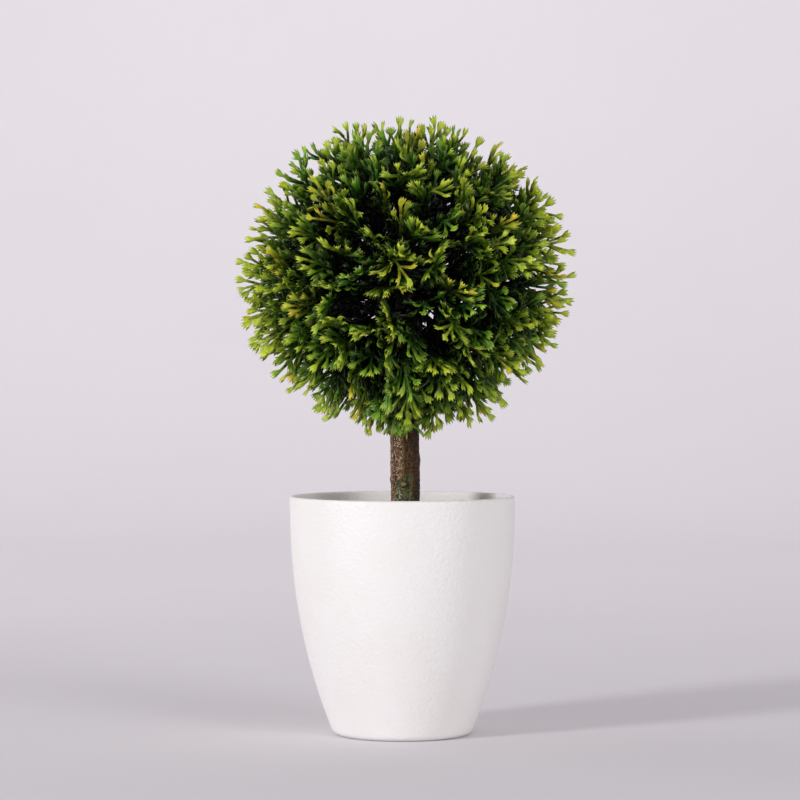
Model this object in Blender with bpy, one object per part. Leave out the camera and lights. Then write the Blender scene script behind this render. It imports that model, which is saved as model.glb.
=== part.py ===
"""Artificial tabletop tree: a ball of moulded sprigs on a real wood trunk, planted in a tapered pot.

Metres, +Z up. The origin is the centre of the pot's foot, on the surface that the pot stands on.
"""

import math

import bmesh
import bpy
from mathutils import Matrix, Vector

# Pot: one thin moulded shell, near vertical under the rim and leaning in towards the foot.
POT_HEIGHT = 0.0900
POT_RIM_RADIUS = 0.0425
POT_TAPER = 0.39  # share of the rim radius that the outline has lost at the foot
POT_CURVE = 2.25  # power of that loss, counted down from the rim
POT_WALL = 0.0020
POT_FLOOR = 0.0033  # top of the inner floor
FOOT_FILLET = 0.0035
FOOT_RING_WIDTH = 0.0030
FOOT_RECESS = 0.0008

# What is planted in the pot, from the bottom up.
GAP = 0.0003  # clearance between pieces that touch
BALLAST_TOP = 0.0210
FOAM_TOP = 0.0735
MOSS_TOP = 0.0775
MOSS_HOLE_RADIUS = 0.0085
MOSS_EDGE = 0.0010  # height of the mat's upright edge
MOSS_DOME = 0.0016  # fall of its upper face from the hole to the edge
MOSS_BUMP = 0.0005
GLUE_HEIGHT = 0.0032

# Tree: it stands a millimetre to the right of the pot's axis.
TREE_X = 0.0010
TRUNK_RADIUS = 0.0056  # of the hole that it needs
BARK_INSET = 0.0002
BARK_SHARE = 0.96  # mean radius of the branch, as a share of the trunk's, before the inset
BARK_RIDGES = ((0.030, 3, 90), (0.022, 5, 0))  # share, ridges round the branch, twist in radians to a metre
BARK_SWELLING = 0.025
BARK_SWELLING_RATE = 150  # radians to a metre
TRUNK_SIDES = 16
TRUNK_FOOT = 0.0400
KNOT_HEIGHT = 0.0946
KNOT_RADIUS = 0.0013
KNOT_LENGTH = 0.0040
KNOT_AZIMUTH = math.radians(-95)
KNOT_FLARE = 1.35  # root radius, as a share of the cut end's
TENON_RADIUS = 0.0034
TENON_LENGTH = 0.0070

# Ball of foliage: sprigs plugged into a small core and, round the underside, into the trunk itself.
BALL_CENTRE = Vector((TREE_X, 0.0, 0.1715))
BALL_RADIUS = 0.0620  # to the tips
CORE_RADIUS = 0.0130
SPRIGS = 36
SPRIG_COVER = 1.93  # height of the band of a unit sphere that the sprigs share; the trunk has the rest
CORE_LIMIT = math.radians(141)  # sprigs lower than this are rooted in the trunk
TRUNK_SEAT_DROP = 0.0175  # the highest of those seats, below the ball's centre
TRUNK_SEAT_STEP = 0.0035
TRUNK_SEAT_POLAR = math.radians(115)

# Sprig: a peg, a stem, two whorls of four arms and a leader; each ends in a flattened tuft of leaves.
PEG_RADIUS = 0.0010
PEG_DEPTH = 0.0030
PEG_HOLE_RADIUS = 0.00165
STEM_RADIUS = 0.0009
ARM_RADIUS = 0.0006
FORK_REACH = 0.62  # top of the stem, as a share of the ball's radius
WHORLS = ((0.52, math.radians(12.3), 0.0), (0.88, math.radians(7.0), math.radians(45)))  # share, polar, turn
TUFT_LENGTH = 0.0140
TUFT_WIDTH = 0.0036  # half of it, at the widest
TUFT_THICKNESS = 0.0017  # half of it
TUFT_WIDEST = 0.62  # share of the way from neck to tip
WHORL_HALF_SPAN = 0.03  # share of the stem that a whorl takes up, on either side of its middle
REACH_VARIATION = 0.05  # share of the ball's radius by which the shortest arm falls short

GOLDEN_SHARE = (math.sqrt(5) - 1) / 2
GOLDEN_ANGLE = math.pi * (3 - math.sqrt(5))
SPRIG_TURN = 1.7  # angle between one sprig's whorls and the next one's


# Tools


def clear_scene():
    for old in list(bpy.data.objects):
        bpy.data.objects.remove(old, do_unlink=True)


def finish(name, colour, roughness, metallic=0.0):
    """A Principled material of one colour."""
    material = bpy.data.materials.new(name)
    material.use_nodes = True
    shader = material.node_tree.nodes["Principled BSDF"]
    shader.inputs["Base Color"].default_value = (*colour, 1.0)
    shader.inputs["Roughness"].default_value = roughness
    shader.inputs["Metallic"].default_value = metallic
    material.diffuse_color = (*colour, 1.0)
    return material


def place(name, bm, material, parent=None, location=(0, 0, 0), rotation=None):
    """The bmesh as a named object, shaded smooth where its faces meet at less than 40 degrees."""
    mesh = bpy.data.meshes.new(name)
    bm.to_mesh(mesh)
    bm.free()
    mesh.shade_smooth()
    mesh.set_sharp_from_angle(angle=math.radians(40))
    mesh.materials.append(material)
    obj = bpy.data.objects.new(name, mesh)
    bpy.context.scene.collection.objects.link(obj)
    obj.parent = parent
    obj.location = location
    if rotation is not None:
        obj.rotation_mode = "QUATERNION"
        obj.rotation_quaternion = rotation
    return obj


def turned(outline, steps, closed=False):
    """A bmesh turned about Z from (radius, height) points that run from axis to axis, or round a ring."""
    bm = bmesh.new()
    points = [bm.verts.new((radius, 0, height)) for radius, height in outline]
    pairs = list(zip(points, points[1:]))
    if closed:
        pairs.append((points[-1], points[0]))
    edges = [bm.edges.new(pair) for pair in pairs]
    bmesh.ops.spin(
        bm, geom=points + edges, cent=(0, 0, 0), axis=(0, 0, 1), angle=math.tau, steps=steps, use_merge=True
    )
    bmesh.ops.remove_doubles(bm, verts=bm.verts, dist=1e-6)
    bmesh.ops.recalc_face_normals(bm, faces=bm.faces)
    return bm


def arc(centre_radius, centre_height, radius, start, end, steps):
    """Outline points of an arc, from one angle to another, in degrees from the outward direction."""
    angles = [math.radians(start + (end - start) * i / steps) for i in range(steps + 1)]
    return [(centre_radius + radius * math.cos(a), centre_height + radius * math.sin(a)) for a in angles]


def heights(low, high, steps):
    return [low + (high - low) * i / steps for i in range(steps + 1)]


def direction(polar, azimuth):
    """The unit vector at this angle from +Z, turned this far about it."""
    return Vector((math.sin(polar) * math.cos(azimuth), math.sin(polar) * math.sin(azimuth), math.cos(polar)))


def helper(obj):
    """Marks an object as a cutter, which is no piece of the tree."""
    obj.hide_render = True
    obj.display_type = "WIRE"


def boolean(target, tool, operation):
    modifier = target.modifiers.new(f"{operation.lower()} {tool.name}", "BOOLEAN")
    modifier.operation = operation
    modifier.object = tool
    helper(tool)


# Pot and planting


def pot_radius(height):
    """Outer radius of the pot at this height."""
    return POT_RIM_RADIUS * (1 - POT_TAPER * (1 - height / POT_HEIGHT) ** POT_CURVE)


def pot_slope():
    """Lean of the pot's side at the foot, in degrees from vertical."""
    return math.degrees(math.atan(POT_RIM_RADIUS * POT_TAPER * POT_CURVE / POT_HEIGHT))


def bore_radius(height):
    """Inner radius of the pot at this height."""
    return pot_radius(height) - POT_WALL


def make_pot(material):
    lean = pot_slope()
    corner = pot_radius(0) - FOOT_FILLET / math.tan(math.radians((90 + lean) / 2))
    ring_inner = corner - FOOT_RING_WIDTH
    fillet = arc(corner, FOOT_FILLET, FOOT_FILLET, -90, -lean, 3)
    lip_centre = POT_HEIGHT - POT_WALL / 2
    underside = [(0, FOOT_RECESS), (ring_inner - FOOT_RECESS, FOOT_RECESS), (ring_inner, 0)]
    outside = [(pot_radius(z), z) for z in heights(fillet[-1][1], lip_centre, 8)][1:-1]
    lip = arc(POT_RIM_RADIUS - POT_WALL / 2, lip_centre, POT_WALL / 2, 0, 180, 4)
    inside = [(bore_radius(z), z) for z in heights(lip_centre, POT_FLOOR + POT_WALL, 6)][1:]
    floor = [(bore_radius(POT_FLOOR) - POT_WALL, POT_FLOOR), (0, POT_FLOOR)]
    return place("pot", turned(underside + fillet + outside + lip + inside + floor, 40), material)


def plug_side(low, high, steps):
    """Outline of whatever fills the pot between two heights, clear of its wall."""
    return [(bore_radius(z) - GAP, z) for z in heights(low, high, steps)]


def make_ballast(material, parent):
    bottom = POT_FLOOR + GAP
    side = plug_side(bottom + POT_WALL, BALLAST_TOP, 3)
    foot = [(0, bottom), (bore_radius(POT_FLOOR) - POT_WALL - GAP, bottom)]
    return place("ballast", turned(foot + side + [(0, BALLAST_TOP)], 28), material, parent)


def make_foam_plug(material, parent):
    """Block of dry foam with a blind hole for the trunk."""
    hole = TRUNK_RADIUS + 2 * GAP
    side = plug_side(BALLAST_TOP + GAP, FOAM_TOP, 5)
    outline = [(0, side[0][1])] + side + [(hole, FOAM_TOP), (hole, TRUNK_FOOT - GAP), (0, TRUNK_FOOT - GAP)]
    bm = turned(outline, 28)
    return offset_hole(place("foam_plug", bm, material, parent))


def offset_hole(plug):
    """Moves the hole's points from the pot's axis to the trunk's."""
    for vert in plug.data.vertices:
        if math.hypot(vert.co.x, vert.co.y) < TRUNK_RADIUS + 3 * GAP and vert.co.z > BALLAST_TOP + 2 * GAP:
            vert.co.x += TREE_X
    return plug


def make_moss_mat(material, parent):
    """Domed, slightly lumpy mat over the foam, open round the foot of the trunk."""
    bottom = FOAM_TOP + GAP
    rim = bore_radius(bottom) - GAP
    width = rim - MOSS_HOLE_RADIUS
    shares = (0.95, 0.75, 0.5, 0.25, 0)
    top = [(MOSS_HOLE_RADIUS + width * share, MOSS_TOP - MOSS_DOME * share**3) for share in shares]
    outline = [(MOSS_HOLE_RADIUS, bottom), (rim, bottom), (rim, bottom + MOSS_EDGE)] + top
    bm = turned(outline, 28, closed=True)
    for vert in bm.verts:
        if vert.co.z > bottom + 1.5 * MOSS_EDGE:
            vert.co.z += MOSS_BUMP * math.sin(260 * vert.co.x + 1) * math.cos(310 * vert.co.y)
    return place("moss_mat", bm, material, parent)


def make_glue_bead(material, parent):
    """Fillet of hot-melt glue between the trunk and the foam."""
    inner = TRUNK_RADIUS + 2 * GAP
    outer = MOSS_HOLE_RADIUS - TREE_X - GAP
    bottom = FOAM_TOP + GAP
    face = [
        (inner + (outer - inner) * (1 - math.sin(a)), bottom + GLUE_HEIGHT * (1 - math.cos(a)))
        for a in (math.radians(30 * i) for i in range(1, 4))
    ]
    bm = turned([(inner, bottom), (outer, bottom)] + face, 20, closed=True)
    return place("glue_bead", bm, material, parent, location=(TREE_X, 0, 0))


# Trunk and core


def bark_radius(angle, height):
    """Radius of the trunk: a natural branch, out of round and with slow swellings."""
    ridges = sum(share * math.sin(count * angle + twist * height) for share, count, twist in BARK_RIDGES)
    swelling = BARK_SWELLING * math.sin(2 * angle + 2) * math.sin(BARK_SWELLING_RATE * height)
    return TRUNK_RADIUS * (BARK_SHARE + ridges + swelling) - BARK_INSET


def tenon_radius(angle, height):
    """Radius of the trunk's whittled end, which is round and even."""
    return TENON_RADIUS


def trunk_rings():
    """(height, radius function) of each ring: the branch, then its tenon."""
    shoulder = BALL_CENTRE.z - CORE_RADIUS - GAP
    branch = [(height, bark_radius) for height in heights(TRUNK_FOOT, shoulder, 13)]
    return branch + [(shoulder, tenon_radius), (shoulder + TENON_LENGTH, tenon_radius)]


def trunk_ring(bm, height, radius_at):
    """New points round the trunk at one height."""
    points = []
    for i in range(TRUNK_SIDES):
        angle = math.tau * i / TRUNK_SIDES
        radius = radius_at(angle, height)
        points.append(bm.verts.new((radius * math.cos(angle), radius * math.sin(angle), height)))
    return points


def make_trunk(material, parent, seats):
    bm = bmesh.new()
    loops = [trunk_ring(bm, height, radius_at) for height, radius_at in trunk_rings()]
    for low, high in zip(loops, loops[1:]):
        for i in range(TRUNK_SIDES):
            j = (i + 1) % TRUNK_SIDES
            bm.faces.new((low[i], low[j], high[j], high[i]))
    bm.faces.new(loops[0][::-1])
    bm.faces.new(loops[-1])
    trunk = place("trunk", bm, material, parent, location=(TREE_X, 0, 0))
    boolean(trunk, make_knot(material, parent), "UNION")
    boolean(trunk, make_drill("trunk_drill", seats, material, parent), "DIFFERENCE")
    return trunk


def make_knot(material, parent):
    """Sawn stub of a side twig, at the front of the trunk just over the pot's rim."""
    bm = bmesh.new()
    root_radius = KNOT_RADIUS * KNOT_FLARE
    bmesh.ops.create_cone(
        bm, cap_ends=True, segments=8, radius1=root_radius, radius2=KNOT_RADIUS, depth=KNOT_LENGTH
    )
    outward = direction(math.pi / 2, KNOT_AZIMUTH)
    at = Vector((TREE_X, 0, KNOT_HEIGHT)) + outward * (TRUNK_RADIUS - KNOT_LENGTH / 5)
    return place("knot", bm, material, parent, location=at, rotation=outward.to_track_quat("Z", "Y"))


def make_drill(name, seats, material, parent):
    """One cutter holding a prism for each (point, direction) seat, a little longer than its peg."""
    bm = bmesh.new()
    outside = 0.0020
    depth = PEG_DEPTH + GAP + outside
    radius = PEG_HOLE_RADIUS
    for point, out in seats:
        turn = out.to_track_quat("Z", "Y").to_matrix().to_4x4()
        turn.translation = point + out * (outside - depth / 2)
        bmesh.ops.create_cone(
            bm, cap_ends=True, segments=8, radius1=radius, radius2=radius, depth=depth, matrix=turn
        )
    return place(name, bm, material, parent)


def make_core(material, parent, seats):
    """Small ball on the trunk's tenon, drilled all over for the sprigs' pegs."""
    bm = bmesh.new()
    bmesh.ops.create_icosphere(bm, subdivisions=2, radius=CORE_RADIUS)
    core = place("core_ball", bm, material, parent, location=BALL_CENTRE)
    socket = bmesh.new()
    depth = TENON_LENGTH + 2 * GAP
    radius = TENON_RADIUS + 2 * GAP
    bmesh.ops.create_cone(
        socket, cap_ends=True, segments=20, radius1=radius, radius2=radius, depth=2 * depth
    )
    at = BALL_CENTRE - Vector((0, 0, CORE_RADIUS))
    boolean(core, place("tenon_socket", socket, material, parent, location=at), "DIFFERENCE")
    boolean(core, make_drill("core_drill", seats, material, parent), "DIFFERENCE")
    return core


# Sprigs


def sprig_seats():
    """(point, peg direction, crown direction) of each sprig, spread over the ball on a golden spiral."""
    in_core = []
    in_trunk = []
    for i in range(SPRIGS):
        polar = math.acos(1 - SPRIG_COVER * (i + 0.5) / SPRIGS)
        azimuth = i * GOLDEN_ANGLE
        crown = direction(polar, azimuth)
        if polar < CORE_LIMIT:
            in_core.append((BALL_CENTRE + crown * CORE_RADIUS, crown, crown))
        else:
            drop = TRUNK_SEAT_DROP + TRUNK_SEAT_STEP * len(in_trunk)
            at = BALL_CENTRE - Vector((0, 0, drop)) + direction(math.pi / 2, azimuth) * TRUNK_RADIUS
            in_trunk.append((at, direction(TRUNK_SEAT_POLAR, azimuth), crown))
    return in_core, in_trunk


def bend(start, control, end, share):
    """A point on the quadratic curve through start and end."""
    return start * (1 - share) ** 2 + control * 2 * share * (1 - share) + end * share**2


def ring(bm, centre, ahead, across, width, thickness):
    """Four new corners round a centre, square to the way ahead."""
    side = (across - ahead * across.dot(ahead)).normalized()
    up = ahead.cross(side)
    corners = ((-1, -1), (1, -1), (1, 1), (-1, 1))
    return [bm.verts.new(centre + side * width * i + up * thickness * j) for i, j in corners]


def grow(bm, face, path, flat=None):
    """Draws a limb out of a four-cornered face along (point, width, thickness); returns each part's sides."""
    loop = list(face.verts)
    across = loop[1].co - loop[0].co
    if flat is not None:
        across = flat if flat.dot(across) > 0 else -flat
    behind = face.calc_center_median()
    bm.faces.remove(face)
    parts = []
    for centre, width, thickness in path:
        ahead = (centre - behind).normalized()
        new = ring(bm, centre, ahead, across, width, thickness)
        parts.append([bm.faces.new((loop[i], loop[(i + 1) % 4], new[(i + 1) % 4], new[i])) for i in range(4)])
        across = new[1].co - new[0].co
        loop = new
        behind = centre
    bm.faces.new(loop)
    return parts


def tuft(base, tip):
    """The last points of a limb: a narrow neck, the widest part and a blunt end."""
    ray = (tip - base).normalized()
    neck = tip - ray * TUFT_LENGTH
    return [
        (neck, ARM_RADIUS, ARM_RADIUS),
        (neck.lerp(tip, TUFT_WIDEST), TUFT_WIDTH, TUFT_THICKNESS),
        (tip, TUFT_WIDTH * 0.45, TUFT_THICKNESS * 0.5),
    ]


def facing(sides, away):
    """The side whose outward normal is nearest to a direction."""
    for side in sides:
        side.normal_update()
    return max(sides, key=lambda side: side.normal.dot(away))


def around(across, crown, azimuth):
    """The direction square to the crown, at an azimuth from across."""
    return across * math.cos(azimuth) + crown.cross(across) * math.sin(azimuth)


def make_sprig(number, seat, out, crown, material, parent):
    """One moulded sprig, in a frame whose Z runs out of the seat."""
    turn = number * SPRIG_TURN
    bm = bmesh.new()
    fork = BALL_CENTRE + crown * BALL_RADIUS * FORK_REACH
    control = fork - crown * (fork - seat).length * 0.5
    across = around(crown.orthogonal().normalized(), crown, turn)
    foot = seat - out * PEG_DEPTH
    root = bm.faces.new(ring(bm, foot, out, across, PEG_RADIUS, PEG_RADIUS))
    bottom = [bm.verts.new(v.co) for v in reversed(root.verts)]
    bm.faces.new(bottom)
    stem = [(seat, PEG_RADIUS, PEG_RADIUS)]
    for share, _, _ in WHORLS:
        for step in (-WHORL_HALF_SPAN, WHORL_HALF_SPAN):
            stem.append((bend(seat, control, fork, share + step), STEM_RADIUS, STEM_RADIUS))
    top = BALL_CENTRE + crown * BALL_RADIUS
    parts = grow(bm, root, stem + tuft(fork, top))
    for (share, polar, offset), sides in zip(WHORLS, parts[2:5:2]):
        for k in range(4):
            quarter = k * math.pi / 2
            away = around(across, crown, offset + quarter)
            base = bend(seat, control, fork, share)
            reach = BALL_RADIUS * (1 - REACH_VARIATION * ((number + k) * GOLDEN_SHARE % 1))
            tip = BALL_CENTRE + (crown * math.cos(polar) + away * math.sin(polar)) * reach
            # Arm k leaves by side k, so that none crosses the stem, and its tuft lies along the ball.
            side = facing(sides, around(across, crown, quarter))
            sides.remove(side)
            grow(bm, side, tuft(base, tip), crown.cross(away))
    bmesh.ops.remove_doubles(bm, verts=bm.verts, dist=1e-6)
    rotation = out.to_track_quat("Z", "Y")
    bm.transform(rotation.inverted().to_matrix().to_4x4() @ Matrix.Translation(-seat))
    return place(f"sprig_{number:02d}", bm, material, parent, location=seat, rotation=rotation)


def main():
    clear_scene()
    white = finish("pot_white", (0.86, 0.85, 0.86), 0.55)
    cement = finish("cement", (0.42, 0.41, 0.39), 0.95)
    foam = finish("foam", (0.13, 0.22, 0.10), 0.95)
    moss = finish("moss", (0.10, 0.19, 0.03), 0.95)
    glue = finish("glue", (0.80, 0.76, 0.66), 0.35)
    bark = finish("bark", (0.20, 0.12, 0.06), 0.60)
    brown = finish("core_brown", (0.10, 0.06, 0.03), 0.90)
    green = finish("sprig_green", (0.13, 0.26, 0.03), 0.42)

    tree = bpy.data.objects.new("tree", None)
    bpy.context.scene.collection.objects.link(tree)

    make_pot(white)
    make_ballast(cement, None)
    make_foam_plug(foam, tree)
    make_moss_mat(moss, tree)
    make_glue_bead(glue, tree)

    in_core, in_trunk = sprig_seats()
    make_trunk(bark, tree, [seat[:2] for seat in in_trunk])
    make_core(brown, tree, [seat[:2] for seat in in_core])
    for number, (seat, out, crown) in enumerate(in_core + in_trunk, start=1):
        make_sprig(number, seat, out, crown, green, tree)


main()
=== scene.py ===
import math

import bpy
import numpy as np
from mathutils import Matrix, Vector


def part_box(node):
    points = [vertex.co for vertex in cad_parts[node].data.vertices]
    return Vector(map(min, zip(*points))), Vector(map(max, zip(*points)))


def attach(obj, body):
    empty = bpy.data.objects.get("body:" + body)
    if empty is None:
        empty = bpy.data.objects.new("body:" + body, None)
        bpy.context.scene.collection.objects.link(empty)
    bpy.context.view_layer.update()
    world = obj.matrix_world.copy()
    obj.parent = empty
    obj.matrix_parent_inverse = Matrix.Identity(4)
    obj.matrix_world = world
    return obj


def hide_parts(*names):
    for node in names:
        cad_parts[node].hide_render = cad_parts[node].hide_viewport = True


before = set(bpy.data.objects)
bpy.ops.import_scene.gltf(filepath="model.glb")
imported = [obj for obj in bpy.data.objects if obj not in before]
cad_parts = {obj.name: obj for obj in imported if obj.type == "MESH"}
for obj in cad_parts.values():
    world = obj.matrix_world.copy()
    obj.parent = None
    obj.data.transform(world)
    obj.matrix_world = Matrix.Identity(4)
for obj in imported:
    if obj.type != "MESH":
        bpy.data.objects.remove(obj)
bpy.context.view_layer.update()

goldenAngle = math.pi * (3 - math.sqrt(5))


def nodePoints(name):
    # every point of a CAD node, as rows of x, y, z
    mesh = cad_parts[name].data
    flat = np.empty(len(mesh.vertices) * 3, np.float32)
    mesh.vertices.foreach_get("co", flat)
    return flat.reshape(-1, 3).astype(float)


def boxOf(name):
    low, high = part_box(name)
    return np.array(low), np.array(high)


potHigh = boxOf("pot")[1]
coreLow, coreHigh = boxOf("core_ball")
trunkLow, trunkHigh = boxOf("trunk")
foamLow, foamHigh = boxOf("foam_plug")
mossLow, mossHigh = boxOf("moss_mat")
ballastLow, ballastHigh = boxOf("ballast")
glueLow, glueHigh = boxOf("glue_bead")
ballCentre = (coreLow + coreHigh) / 2
trunkX = (glueLow[0] + glueHigh[0]) / 2  # the glue is turned about the trunk's own axis
sprigNames = sorted(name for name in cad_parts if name.startswith("sprig_"))


def makeMesh(name, points, faceSets, values=None):
    # faceSets are index arrays, each with one face to a row; values are named numbers, one to a point
    mesh = bpy.data.meshes.new(name)
    mesh.vertices.add(len(points))
    mesh.vertices.foreach_set("co", np.ascontiguousarray(points, np.float32).ravel())
    corners = np.concatenate([faces.ravel() for faces in faceSets]).astype(np.int32)
    counts = np.concatenate([np.full(len(faces), faces.shape[1]) for faces in faceSets])
    mesh.loops.add(len(corners))
    mesh.loops.foreach_set("vertex_index", corners)
    mesh.polygons.add(len(counts))
    mesh.polygons.foreach_set("loop_start", (np.cumsum(counts) - counts).astype(np.int32))
    mesh.update(calc_edges=True)
    for label, numbers in (values or {}).items():
        layer = mesh.attributes.new(label, "FLOAT", "POINT")
        layer.data.foreach_set("value", np.ascontiguousarray(numbers, np.float32))
    mesh.shade_smooth()
    return mesh


def addObject(name, data):
    thing = bpy.data.objects.new(name, data)
    bpy.context.scene.collection.objects.link(thing)
    return thing


def placePiece(name, mesh, material, body, nodes):
    # a finished piece: it rides on a body and stands for CAD nodes
    piece = addObject(name, mesh)
    mesh.materials.append(material)
    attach(piece, body)
    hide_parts(*nodes)
    return piece


def gridFaces(rows, columns, wrap=True):
    # four-cornered faces between neighbouring rows and columns; with wrap the last column meets the first
    row, column = np.meshgrid(np.arange(rows - 1), np.arange(columns if wrap else columns - 1), indexing="ij")
    across = (column + 1) % columns
    faces = np.stack([row * columns + column, row * columns + across,
                      (row + 1) * columns + across, (row + 1) * columns + column], axis=-1)
    return faces.reshape(-1, 4)


def cappedFaces(rings, sides):
    # walls between rings of points, and a fan at each end round one of the two points that follow the rings
    first = np.arange(sides)
    after = (first + 1) % sides
    last = (rings - 1) * sides
    under = np.stack([after, first, np.full(sides, rings * sides)], axis=-1)
    over = np.stack([last + first, last + after, np.full(sides, rings * sides + 1)], axis=-1)
    return [gridFaces(rings, sides), under, over]


def turnedPoints(outline, sides, bend):
    # each outline point (radius, height) carried round Z: (radius cos angle, radius sin angle, height)
    angles = np.linspace(0, math.tau, sides, endpoint=False)
    radius, angle = np.meshgrid(outline[:, 0], angles, indexing="ij")
    height = np.broadcast_to(outline[:, 1:2], radius.shape)
    points = np.stack([radius * np.cos(angle), radius * np.sin(angle), height], axis=-1)
    return points if bend is None else bend(points, radius, angle)


def turnedSurface(name, outline, sides, bend=None):
    # a closed turned shape whose first and last outline points lie on the axis
    outline = np.asarray(outline, float)
    points = turnedPoints(outline[1:-1], sides, bend)
    ends = np.array([[0, 0, outline[0, 1]], [0, 0, outline[-1, 1]]])
    return makeMesh(name, np.concatenate([points.reshape(-1, 3), ends]), cappedFaces(len(outline) - 2, sides))


def turnedRing(name, outline, sides, bend=None):
    # as turnedSurface, but the outline closes on itself and never meets the axis
    outline = np.asarray(outline, float)
    points = turnedPoints(outline, sides, bend)
    faces = gridFaces(len(outline) + 1, sides) % (len(outline) * sides)
    return makeMesh(name, points.reshape(-1, 3), [faces])


def arcPoints(centreRadius, centreHeight, radius, start, end, steps):
    # points on an arc, its angles in degrees from the outward direction
    angle = np.radians(np.linspace(start, end, steps))
    return np.stack([centreRadius + radius * np.cos(angle), centreHeight + radius * np.sin(angle)], axis=-1)


def latticeNoise(u, v, cellsU, cellsV, seed):
    # smooth noise from -1 to 1: random values on a lattice, eased between its corners; u wraps after 1
    table = np.random.default_rng(seed).uniform(-1, 1, (cellsU, cellsV + 2))
    x = (u % 1.0) * cellsU
    y = np.clip(v, 0, 1) * cellsV
    column, row = np.floor(x).astype(int), np.floor(y).astype(int)
    easeX, easeY = x - column, y - row
    easeX = easeX * easeX * (3 - 2 * easeX)
    easeY = easeY * easeY * (3 - 2 * easeY)
    left, right = column % cellsU, (column + 1) % cellsU
    low = table[left, row] * (1 - easeX) + table[right, row] * easeX
    high = table[left, row + 1] * (1 - easeX) + table[right, row + 1] * easeX
    return low * (1 - easeY) + high * easeY


def smoothStep(low, high, value):
    share = np.clip((value - low) / (high - low), 0, 1)
    return share * share * (3 - 2 * share)


def newMaterial(name):
    material = bpy.data.materials.new(name)
    material.use_nodes = True
    tree = material.node_tree
    tree.nodes.clear()
    output = tree.nodes.new("ShaderNodeOutputMaterial")
    shader = tree.nodes.new("ShaderNodeBsdfPrincipled")
    tree.links.new(shader.outputs["BSDF"], output.inputs["Surface"])
    return material, tree, shader


def feed(tree, socket, value):
    # gives an input socket a constant or another node's output
    if isinstance(value, bpy.types.NodeSocket):
        tree.links.new(value, socket)
    else:
        socket.default_value = value


def addNode(tree, kind, settings=None, **inputs):
    node = tree.nodes.new("ShaderNode" + kind)
    for label, value in (settings or {}).items():
        setattr(node, label, value)
    for label, value in inputs.items():
        feed(tree, node.inputs[label], value)
    return node


def calculate(tree, operation, *terms):
    node = addNode(tree, "Math", {"operation": operation})
    for number, term in enumerate(terms):
        feed(tree, node.inputs[number], term)
    return node.outputs["Value"]


def rescaled(tree, value, toLow, toHigh, fromLow=0.0, fromHigh=1.0):
    # a value carried from one range to another and held inside it
    node = addNode(tree, "MapRange", Value=value)
    bounds = {"From Min": fromLow, "From Max": fromHigh, "To Min": toLow, "To Max": toHigh}
    for label, bound in bounds.items():
        node.inputs[label].default_value = bound
    return node.outputs["Result"]


def rampColour(tree, share, stops):
    # a colour ramp through its stops, each (position, colour) and in order
    ramp = addNode(tree, "ValToRGB", Fac=share)
    elements = ramp.color_ramp.elements
    for element, (position, shade) in zip(elements, (stops[0], stops[-1])):
        element.position = position
        element.color = colour(*shade)
    for position, shade in stops[1:-1]:
        elements.new(position).color = colour(*shade)
    return ramp.outputs["Color"]


def readValue(tree, label):
    # a number that the mesh holds at each point
    return addNode(tree, "Attribute", {"attribute_name": label}).outputs["Fac"]


def colour(red, green, blue):
    return (red, green, blue, 1.0)


def newGroup(name, inputs, outputs):
    # a shader node group; inputs are (label, kind, default) and outputs (label, kind)
    group = bpy.data.node_groups.new(name, "ShaderNodeTree")
    for label, kind, default in inputs:
        socket = group.interface.new_socket(label, in_out="INPUT", socket_type="NodeSocket" + kind)
        socket.default_value = default
    for label, kind in outputs:
        group.interface.new_socket(label, in_out="OUTPUT", socket_type="NodeSocket" + kind)
    return group, group.nodes.new("NodeGroupInput"), group.nodes.new("NodeGroupOutput")


def useGroup(tree, group, **inputs):
    node = tree.nodes.new("ShaderNodeGroup")
    node.node_tree = group
    for label, value in inputs.items():
        feed(tree, node.inputs[label], value)
    return node


def mixInto(tree, first, second, share, kind="MIX"):
    # first turned into second by a share; each is a colour or another node's output
    mix = addNode(tree, "Mix", {"data_type": "RGBA", "blend_type": kind}, Factor=share)
    feed(tree, mix.inputs[6], first)  # the sockets that hold colours
    feed(tree, mix.inputs[7], second)
    return mix.outputs[2]


def makeMottleGroup():
    # two colours mixed by clouded noise
    group, given, result = newGroup(
        "mottle",
        [("First", "Color", colour(1, 1, 1)), ("Second", "Color", colour(0, 0, 0)),
         ("Scale", "Float", 100.0), ("Low", "Float", 0.35), ("High", "Float", 0.65)],
        [("Colour", "Color"), ("Mask", "Float")])
    place = addNode(group, "TexCoord")
    cloud = addNode(group, "TexNoise", {"noise_dimensions": "3D"}, Vector=place.outputs["Object"],
                    Scale=given.outputs["Scale"], Detail=4.0, Roughness=0.6)
    mask = addNode(group, "MapRange", {"interpolation_type": "SMOOTHSTEP"}, Value=cloud.outputs["Fac"])
    group.links.new(given.outputs["Low"], mask.inputs["From Min"])
    group.links.new(given.outputs["High"], mask.inputs["From Max"])
    mixed = mixInto(group, given.outputs["First"], given.outputs["Second"], mask.outputs["Result"])
    group.links.new(mixed, result.inputs["Colour"])
    group.links.new(mask.outputs["Result"], result.inputs["Mask"])
    return group


def makeGrainGroup():
    # height for a Bump node: broad soft noise plus small round pimples
    group, given, result = newGroup(
        "grain",
        [("Broad", "Float", 300.0), ("Fine", "Float", 1200.0), ("Pimples", "Float", 0.5)],
        [("Height", "Float")])
    place = addNode(group, "TexCoord")
    broad = addNode(group, "TexNoise", Vector=place.outputs["Object"], Scale=given.outputs["Broad"],
                    Detail=3.0, Roughness=0.55)
    cells = addNode(group, "TexVoronoi", {"feature": "SMOOTH_F1"}, Vector=place.outputs["Object"],
                    Scale=given.outputs["Fine"])
    weighted = calculate(group, "MULTIPLY", cells.outputs["Distance"], given.outputs["Pimples"])
    total = calculate(group, "SUBTRACT", broad.outputs["Fac"], weighted)
    group.links.new(total, result.inputs["Height"])
    return group


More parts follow.
